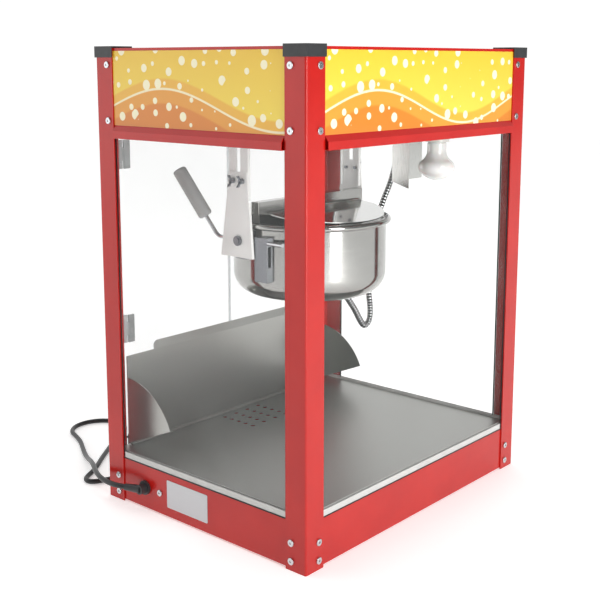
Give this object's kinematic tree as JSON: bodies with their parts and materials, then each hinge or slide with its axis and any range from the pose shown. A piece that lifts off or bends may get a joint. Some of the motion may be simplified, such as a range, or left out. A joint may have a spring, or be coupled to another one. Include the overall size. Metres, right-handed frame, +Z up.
{
  "type": "popcorn maker",
  "caption": "Cabinet popcorn maker: folded sheet frame with glass walls, a tilting heated kettle with stirrer and hinged lids, back doors, scoop guard and kernel drawer.",
  "frame": {"origin": "on the floor under the middle of the cabinet", "axes": "+X to the right seen from the front, +Y to the back where the doors are, +Z up"},
  "size_m": [0.5936, 0.7437, 0.73],
  "materials": {
    "red_paint": "glossy red powder coat",
    "black_plastic": "moulded, slightly satin",
    "plain_steel": "plain cold-rolled sheet",
    "brushed_steel": "satin stainless",
    "bright_steel": "bright",
    "clear_glass": "clear",
    "clear_acrylic": "clear acrylic",
    "grey_trim": "pale grey",
    "grey_plastic": "moulded grey",
    "black_rubber": "matt black",
    "motor_alloy": "cast",
    "white_ceramic": "glazed",
    "opal_glass": "opal",
    "red_plastic": "translucent red"
  },
  "bodies": {
    "cabinet": {"post_front_left": "red_paint", "post_front_right": "red_paint", "post_back_left": "red_paint", "post_back_right": "red_paint", "post_caps": "black_plastic", "header_front": "red_paint", "header_back": "red_paint", "header_left": "red_paint", "header_right": "red_paint", "top_cover": "plain_steel", "ceiling_plate": "plain_steel", "base_rail_front": "red_paint", "base_rail_back": "red_paint", "base_rail_left": "red_paint", "base_rail_right": "red_paint", "base_pan": "plain_steel", "deck": "brushed_steel", "glass_front": "clear_glass", "glass_left": "clear_glass", "glass_right": "clear_glass", "glass_channels": "grey_trim", "case_screws": "bright_steel", "cable_gland": "black_plastic", "power_cord": "black_rubber", "power_cord_coil": "black_rubber", "cord_tie": "black_rubber", "mains_plug": "black_plastic", "hinge_blocks": "grey_plastic", "hangers": "plain_steel", "hanger_plates": "plain_steel", "wing_screws": "bright_steel", "lamp_holder": "white_ceramic", "bulb": "opal_glass", "lamp_shield": "plain_steel", "flexible_conduit": "bright_steel", "switch_bodies": "black_plastic"},
    "left_door": {"door_left": "clear_acrylic", "door_left_leaves": "grey_plastic", "door_left_knob": "black_plastic"},
    "right_door": {"door_right": "clear_acrylic", "door_right_leaves": "grey_plastic", "door_right_knob": "black_plastic"},
    "guard": {"scoop_guard": "brushed_steel"},
    "kettle": {"kettle_shell": "brushed_steel", "kettle_pan": "brushed_steel", "heater_plate": "motor_alloy", "gear_motor": "motor_alloy", "kettle_bridge": "brushed_steel", "kettle_ears": "brushed_steel", "lever_rod": "bright_steel", "lever_grip": "grey_plastic"},
    "front_lid": {"lid_front": "bright_steel"},
    "back_lid": {"lid_back": "bright_steel"},
    "stirrer": {"stirrer_shaft": "brushed_steel", "stirrer_paddle": "brushed_steel"},
    "heat_switch": {"rocker_heat": "red_plastic"},
    "stir_switch": {"rocker_stir": "red_plastic"},
    "lamp_switch": {"rocker_lamp": "red_plastic"},
    "drawer": {"kernel_drawer": "red_paint"}
  },
  "joints": [
    {"name": "left_door_hinge", "type": "hinge", "parent": "cabinet", "child": "left_door", "pos_m": [-0.2369, 0.2175, 0.417], "axis": [0, 0, 1], "range_deg": [0, 100]},
    {"name": "right_door_hinge", "type": "hinge", "parent": "cabinet", "child": "right_door", "pos_m": [0.2369, 0.2175, 0.417], "axis": [0, 0, -1], "range_deg": [0, 100]},
    {"name": "guard_tip", "type": "hinge", "parent": "cabinet", "child": "guard", "pos_m": [0, 0.19525, 0.0823], "axis": [1, 0, 0], "range_deg": [0, 20]},
    {"name": "kettle_tilt", "type": "hinge", "parent": "cabinet", "child": "kettle", "pos_m": [0, 0.045, 0.428], "axis": [-1, 0, 0], "range_deg": [0, 95], "deforming": ["flexible_conduit"]},
    {"name": "front_lid_hinge", "type": "hinge", "parent": "kettle", "child": "front_lid", "pos_m": [0, 0.0092, 0.4715], "axis": [-1, 0, 0], "range_deg": [0, 45]},
    {"name": "back_lid_hinge", "type": "hinge", "parent": "kettle", "child": "back_lid", "pos_m": [0, 0.0308, 0.4715], "axis": [1, 0, 0], "range_deg": [0, 70]},
    {"name": "stirrer_spin", "type": "hinge", "parent": "kettle", "child": "stirrer", "pos_m": [0, 0.02, 0.4], "axis": [0, 0, 1], "continuous": true},
    {"name": "heat_rocker", "type": "hinge", "parent": "cabinet", "child": "heat_switch", "pos_m": [-0.06, 0.2115, 0.667], "axis": [-1, 0, 0], "range_deg": [0, 20]},
    {"name": "stir_rocker", "type": "hinge", "parent": "cabinet", "child": "stir_switch", "pos_m": [0, 0.2115, 0.667], "axis": [-1, 0, 0], "range_deg": [0, 20]},
    {"name": "lamp_rocker", "type": "hinge", "parent": "cabinet", "child": "lamp_switch", "pos_m": [0.06, 0.2115, 0.667], "axis": [-1, 0, 0], "range_deg": [0, 20]},
    {"name": "drawer_slide", "type": "slide", "parent": "cabinet", "child": "drawer", "axis": [0, 1, 0], "range_m": [0, 0.1]}
  ]
}
